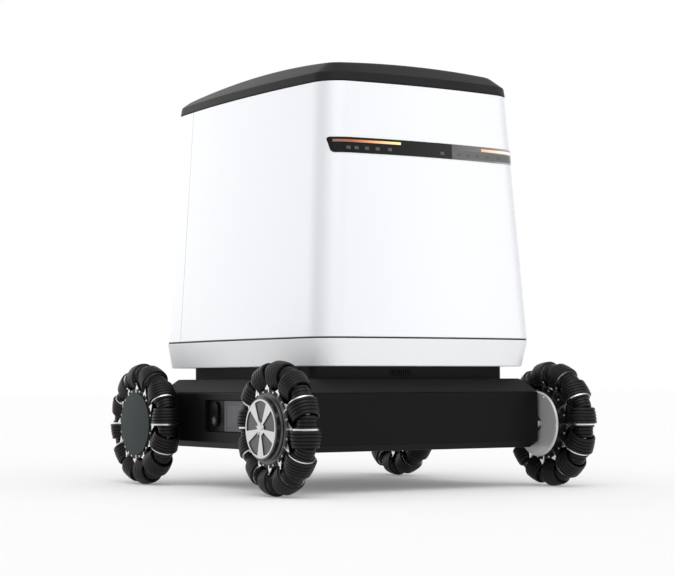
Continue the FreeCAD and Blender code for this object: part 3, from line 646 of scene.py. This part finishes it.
def make_lid():
    """Crowned lid: rim, leaning wall, crease, slope and domed top, hollow below."""
    inner_z = LID_Z0 + LID_LIP
    inner = lid_skin(LID_THICKNESS)[::-1]
    chain = [
        (LID_WALL_TOP - 0.002, LID_THICKNESS + LID_LEAN),
        (inner_z, LID_THICKNESS + 0.001),
        (inner_z, LID_RIM),
        (LID_Z0, LID_RIM),
        (LID_Z0, 0.0),
        (LID_WALL_TOP, LID_LEAN),
        (LID_WALL_TOP + LID_SLOPE_START * LID_RISE, LID_LEAN + LID_SLOPE_START),
    ]
    chain = rounded(chain, LID_EDGE_R, closed=False, steps=5)
    bm = bmesh.new()
    rings = inner + [ring_points(SHELL_HIGH, inset, z) for z, inset in chain[:-1]] + lid_skin(0)
    loft(bm, rings, caps=True)
    weighted(new_piece("lid_cover", bm, "lid_black", "lid", "lid_black", "lid"))


def make_lid_tongue():
    """The lock tongue that hangs inside the lid's front rim."""
    low, high = TONGUE_LOW, TONGUE_HIGH
    outline = box_outline(low.y, high.y, low.z, high.z, TONGUE_EDGE_R)
    bm = bmesh.new()
    loft_along_x(bm, [(low.x, outline), (high.x, outline)])
    tongue = new_piece("lid_tongue", bm, "lid_black", "lid", "lid_black")
    eye = cylinder_cutter(EYE_R, Vector((-EYE_HALF, EYE_Y, EYE_Z)), Vector((EYE_HALF, EYE_Y, EYE_Z)))
    subtract(tongue, [eye])


# ---------------------------------------------------------------- chassis


def rect_points(half_x, half_y, corner, z):
    """Rounded rectangle at a height."""
    points = []
    steps = 5
    for quarter, (sx, sy) in enumerate(((1, 1), (-1, 1), (-1, -1), (1, -1))):
        for step in range(steps + 1):
            angle = math.radians(90 * quarter + 90 * step / steps)
            x = sx * (half_x - corner) + corner * math.cos(angle)
            y = sy * (half_y - corner) + corner * math.sin(angle)
            points.append((x, y, z))
    return points


def chassis_rings(chain):
    """The chassis plan at each (height, inset) of a chain."""
    rings = []
    for z, inset in chain:
        corner = max(CHASSIS_CORNER - inset * 0.3, 0.003)
        rings.append(rect_points(CHASSIS_X - inset, CHASSIS_Y - inset, corner, z))
    return rings


def cutter(bm):
    """A tool for subtract, made from a mesh under construction."""
    bmesh.ops.recalc_face_normals(bm, faces=bm.faces)
    mesh = bpy.data.meshes.new("cutter")
    bm.to_mesh(mesh)
    bm.free()
    tool = bpy.data.objects.new("cutter", mesh)
    bpy.context.scene.collection.objects.link(tool)
    return tool


def cylinder_cutter(radius, start, end):
    bm = bmesh.new()
    axis = end - start
    bmesh.ops.create_cone(
        bm, cap_ends=True, segments=32, radius1=radius, radius2=radius, depth=axis.length,
        matrix=Matrix.Translation((start + end) / 2) @ axis.to_track_quat("Z", "Y").to_matrix().to_4x4(),
    )
    return cutter(bm)


def subtract(piece, tools):
    """Cuts tools out of a piece and removes the tools."""
    for tool in tools:
        modifier = piece.modifiers.new("cut", "BOOLEAN")
        modifier.operation = "DIFFERENCE"
        modifier.solver = "EXACT"
        modifier.object = tool
    bpy.context.view_layer.update()
    graph = bpy.context.evaluated_depsgraph_get()
    mesh = bpy.data.meshes.new_from_object(piece.evaluated_get(graph))
    piece.modifiers.clear()
    piece.data = mesh
    for tool in tools:
        bpy.data.objects.remove(tool)
    smooth(piece)


def make_tub():
    """Tub with a bevelled lower edge, side recess openings and axle holes."""
    inner_z = CHASSIS_Z0 + WALL
    chain = [
        (CHASSIS_Z0, TUB_FLOOR_IN),
        (CHASSIS_Z0, BEVEL_IN),
        (BEVEL_TOP, 0.0),
        (TUB_TOP, 0.0),
        (TUB_TOP, WALL),
        (BEVEL_TOP + WALL, WALL),
        (inner_z, BEVEL_IN + WALL),
        (inner_z, TUB_FLOOR_IN),
    ]
    bm = bmesh.new()
    loft(bm, chassis_rings(rounded(chain, TUB_EDGE_R, closed=False)), caps=True)
    tub = new_piece("tub_body", bm, "chassis_black", "chassis", "chassis_black", "chassis_tub")
    tools = []
    outline = box_outline(-RECESS_Y, RECESS_Y, *RECESS_Z, RECESS_CORNER)
    for side in (-1, 1):
        bm = bmesh.new()
        ends = (side * (CHASSIS_X - WALL * 2.4), side * (CHASSIS_X + 0.01))
        loft_along_x(bm, [(x, outline) for x in ends])
        tools.append(cutter(bm))
        for end in (-1, 1):
            start = Vector((side * (CHASSIS_X - 0.01), end * WHEEL_Y, WHEEL_R))
            tools.append(cylinder_cutter(AXLE_HOLE_R, start, start + Vector((side * 0.02, 0, 0))))
    subtract(tub, tools)
    weighted(tub)


def make_recess_pockets():
    """The pocket behind each side recess: a shallow tray joined to the tub's wall."""
    half = RECESS_Y + TRAY_PLAY
    z0, z1 = RECESS_Z[0] - TRAY_PLAY, RECESS_Z[1] + TRAY_PLAY
    wide = half + TRAY_WALL
    outline = box_outline(-half, half, z0, z1, TRAY_CORNER)
    out = box_outline(-wide, wide, z0 - TRAY_WALL, z1 + TRAY_WALL, TRAY_OUTER_CORNER)
    for side, name in ((-1, "right"), (1, "left")):
        bm = bmesh.new()
        mouth = side * (CHASSIS_X - WALL + 0.0002)
        back = side * (CHASSIS_X - RECESS_DEPTH)
        rear = side * (CHASSIS_X - RECESS_DEPTH - TRAY_WALL)
        loft_along_x(bm, [(back, outline), (mouth, outline), (mouth, out), (rear, out)])
        new_piece(name + "_recess_tray", bm, "chassis_black", "chassis", "chassis_black")


def make_cover():
    """Cover on the tub, with a broad sloped edge."""
    chain = [
        (DECK_Z, COVER_TOP_IN),
        (DECK_Z, DECK_INSET),
        (TUB_TOP + COVER_GAP, 0.0),
        (TUB_TOP + COVER_GAP, WALL),
        (DECK_Z - WALL, DECK_INSET + WALL),
        (DECK_Z - WALL, COVER_TOP_IN),
    ]
    bm = bmesh.new()
    loft(bm, chassis_rings(rounded(chain, COVER_EDGE_R, closed=False)), caps=True)
    weighted(new_piece("deck_cover", bm, "chassis_black", "chassis", "chassis_black", "chassis_cover"))


# ---------------------------------------------------------------- rollers


def big_profile():
    """(distance, radius) chain of a big roller, from its bore at the plate round to its hollow."""
    start, end = BIG_SPAN
    ribs, steps = BIG_RIBS, BIG_RIB_STEPS
    chain = [(start, BIG_BORE_R)]
    for rib in range(ribs):
        for step in range(steps + (1 if rib == ribs - 1 else 0)):
            u = step / steps
            s = start + (end - start) * (rib + u) / ribs
            crown = math.sqrt(WHEEL_R**2 - s * s) - BIG_AXIS_R
            dip = GROOVE_DEPTH * abs(2 * u - 1) ** 7
            chain.append((s, crown - dip))
    lip = chain[-1][1]
    chain += [(end, lip - LIP_DROP), (end - LIP_EDGE, BIG_HOLLOW_R + LIP_FLARE)]
    chain.append((end - HOLLOW_LIP, BIG_HOLLOW_R))
    chain += [(BIG_HOLLOW_START, BIG_HOLLOW_R), (BIG_HOLLOW_START, BIG_BORE_R)]
    return chain


def small_radius(t):
    """Radius of a small roller at distance t from its plate: a broad rib, then a barrel."""
    for (t0, r0), (t1, r1) in zip(SMALL_RADII, SMALL_RADII[1:]):
        if t <= t1 + 1e-9:
            return r0 + (r1 - r0) * (t - t0) / (t1 - t0)
    return SMALL_RADII[-1][1]


def small_profile():
    """(distance, radius) chain of a small roller."""
    chain = [(SMALL_STATIONS[0], SMALL_BORE_R)]
    steps = SMALL_RIB_STEPS
    for first, last in zip(SMALL_STATIONS, SMALL_STATIONS[1:]):
        for step in range(steps + (1 if last == SMALL_STATIONS[-1] else 0)):
            u = step / steps
            t = first + (last - first) * u
            chain.append((t, small_radius(t) - SMALL_GROOVE_DEPTH * abs(2 * u - 1) ** 5))
    chain.append((SMALL_STATIONS[-1], SMALL_BORE_R))
    return chain


def roller_place(axis_r, angle, side):
    """From a roller built along +X at the origin to its plate on a wheel at the origin."""
    about = Matrix.Rotation(math.radians(-90 * side), 4, "Z")
    out = Matrix.Translation((0, 0, axis_r))
    return Matrix.Rotation(math.radians(angle - 90), 4, "X") @ out @ about


def wheel_place(side_x, side_y):
    """From a wheel at the origin, outboard towards -X, to its corner. Rear wheels are mirrored."""
    place = Matrix.Translation((side_x * WHEEL_X, side_y * WHEEL_Y, WHEEL_R))
    if side_x > 0:
        place = place @ Matrix.Rotation(math.pi, 4, "Z")
    if side_y > 0:
        place = place @ Matrix.Scale(-1, 4, (0, 1, 0))
    return place


def add_roller(bm, profile, place):
    """Spins a profile about its axis and sets it in its place."""
    rings = []
    for s, radius in profile:
        ring = []
        for i in range(ROLLER_SIDES):
            angle = 2 * math.pi * i / ROLLER_SIDES
            ring.append(place @ Vector((s, radius * math.cos(angle), radius * math.sin(angle))))
        rings.append(ring)
    loft(bm, rings, loop=True)


def make_rollers():
    """Each wheel's fixed rollers as one piece, and its two turning rollers on their own."""
    big, small = big_profile(), small_profile()
    for corner, (side_x, side_y) in CORNERS.items():
        wheel = wheel_place(side_x, side_y)
        bm = bmesh.new()
        for index in range(PLATES):
            angle = PLATE_STEP * index
            if angle - 360 not in LIVE_PLATES.values():
                add_roller(bm, big, wheel @ roller_place(BIG_AXIS_R, angle, 1))
            add_roller(bm, small, wheel @ roller_place(SMALL_AXIS_R, angle, -1))
        node = corner + "_rollers"
        body = corner + "_wheel"
        new_piece(corner + "_roller_set", bm, "roller_rubber", body, "roller_rubber", node)
        for key, angle in LIVE_PLATES.items():
            bm = bmesh.new()
            add_roller(bm, big, wheel @ roller_place(BIG_AXIS_R, angle, 1))
            node = corner + "_roller_" + key
            new_piece(corner + "_turning_roller_" + key, bm, "roller_rubber", node, "roller_rubber", node)


# ---------------------------------------------------------------- CAD nodes


def dress_nodes():
    """Every CAD node takes the material of its slot."""
    for part in frame["record"]["subparts"]:
        node = NODES[part["node"]]
        node.data.materials.clear()
        node.data.materials.append(MATERIALS[part["material_slot"]])


def dress_hub_caps():
    """The front wheels' caps have a material of their own: bright spokes over sunk dark petals."""
    for corner in ("front_right", "front_left"):
        cap = NODES[corner + "_hub_cap"]
        cap.data.materials.clear()
        cap.data.materials.append(MATERIALS["hub_cap"])


# ---------------------------------------------------------------- studio

# bearing from +X, height (degrees), sharpness and strength of each light box
SKY = [
    (-180, 12, 6, 0.20),
    (-135, 12, 6, 0.09),
    (-90, 12, 6, 0.34),
    (-45, 12, 6, 1.26),
    (0, 12, 6, 0.47),
    (45, 12, 6, 0.99),
    (90, 12, 6, 1.33),
    (135, 12, 6, 1.0),
    (0, 90, 3, 0.46),
    (-120, 50, 5, 2.29),
]
CAMERA_PLACE = (-2.1132, -3.2764, 0.2121)
CAMERA_TURN = (32.6, 2.9, -0.2)
CAMERA_LENS = 99.64
FLOOR_GREY = (0.75, 0.755)
FLOOR_GLOW = 0.165


def make_camera():
    """Low and near the robot's right front corner, with a long lens."""
    data = bpy.data.cameras.new("camera")
    data.sensor_width = 36.0
    data.lens = CAMERA_LENS
    data.clip_end = 60
    camera = bpy.data.objects.new("camera", data)
    bpy.context.scene.collection.objects.link(camera)
    yaw, pitch, roll = (math.radians(angle) for angle in CAMERA_TURN)
    turn = Matrix.Rotation(-yaw, 4, "Z") @ Matrix.Rotation(math.pi / 2 + pitch, 4, "X")
    camera.matrix_world = Matrix.Translation(CAMERA_PLACE) @ turn @ Matrix.Rotation(roll, 4, "Z")
    bpy.context.scene.camera = camera


def make_floor():
    """Pale floor that glows a little, so that it meets the backdrop without a line."""
    bm = bmesh.new()
    bmesh.ops.create_grid(bm, x_segments=8, y_segments=8, size=30)
    mesh = bpy.data.meshes.new("floor")
    bm.to_mesh(mesh)
    bm.free()
    floor = bpy.data.objects.new("floor", mesh)
    bpy.context.scene.collection.objects.link(floor)
    white = surface(
        "floor_white", grey(FLOOR_GREY[0]), grey(FLOOR_GREY[1]), (0.7, 0.8), 20,
        Specular_IOR_Level=0.0, Emission_Color=(1, 1, 1, 1), Emission_Strength=FLOOR_GLOW,
    )
    mesh.materials.append(white)


def make_world():
    """Studio light from several broad boxes, strongest high over the robot's right front corner."""
    world = bpy.data.worlds.new("studio")
    world.use_nodes = True
    bpy.context.scene.world = world
    nodes, links = world.node_tree.nodes, world.node_tree.links
    coords = nodes.new("ShaderNodeTexCoord")
    total = None
    for bearing, height, sharpness, strength in SKY:
        across, up = math.radians(bearing), math.radians(height)
        facing = nodes.new("ShaderNodeVectorMath")
        facing.operation = "DOT_PRODUCT"
        facing.inputs[1].default_value = (
            math.cos(across) * math.cos(up), math.sin(across) * math.cos(up), math.sin(up),
        )
        front, spread, add = (nodes.new("ShaderNodeMath") for _ in range(3))
        front.operation, spread.operation, add.operation = "MAXIMUM", "POWER", "MULTIPLY_ADD"
        front.inputs[1].default_value = 0.0
        spread.inputs[1].default_value = sharpness
        add.inputs[1].default_value = strength
        add.inputs[2].default_value = 0.0
        links.new(coords.outputs["Generated"], facing.inputs[0])
        links.new(facing.outputs["Value"], front.inputs[0])
        links.new(front.outputs[0], spread.inputs[0])
        links.new(spread.outputs[0], add.inputs[0])
        if total:
            links.new(total, add.inputs[2])
        total = add.outputs[0]
    studio = nodes["Background"]
    links.new(total, studio.inputs["Color"])
    backdrop = nodes.new("ShaderNodeBackground")
    backdrop.inputs["Color"].default_value = (1, 1, 1, 1)
    path = nodes.new("ShaderNodeLightPath")
    choose = nodes.new("ShaderNodeMixShader")
    links.new(path.outputs["Is Camera Ray"], choose.inputs["Fac"])
    links.new(studio.outputs[0], choose.inputs[1])
    links.new(backdrop.outputs[0], choose.inputs[2])
    links.new(choose.outputs[0], nodes["World Output"].inputs["Surface"])


def make_studio():
    bpy.context.scene.view_settings.view_transform = "Standard"
    make_camera()
    make_floor()
    make_world()


dress_nodes()
dress_hub_caps()
make_shell()
make_skirt()
make_lid()
make_lid_tongue()
make_tub()
make_recess_pockets()
make_cover()
make_rollers()
make_studio()

bpy.context.view_layer.update()
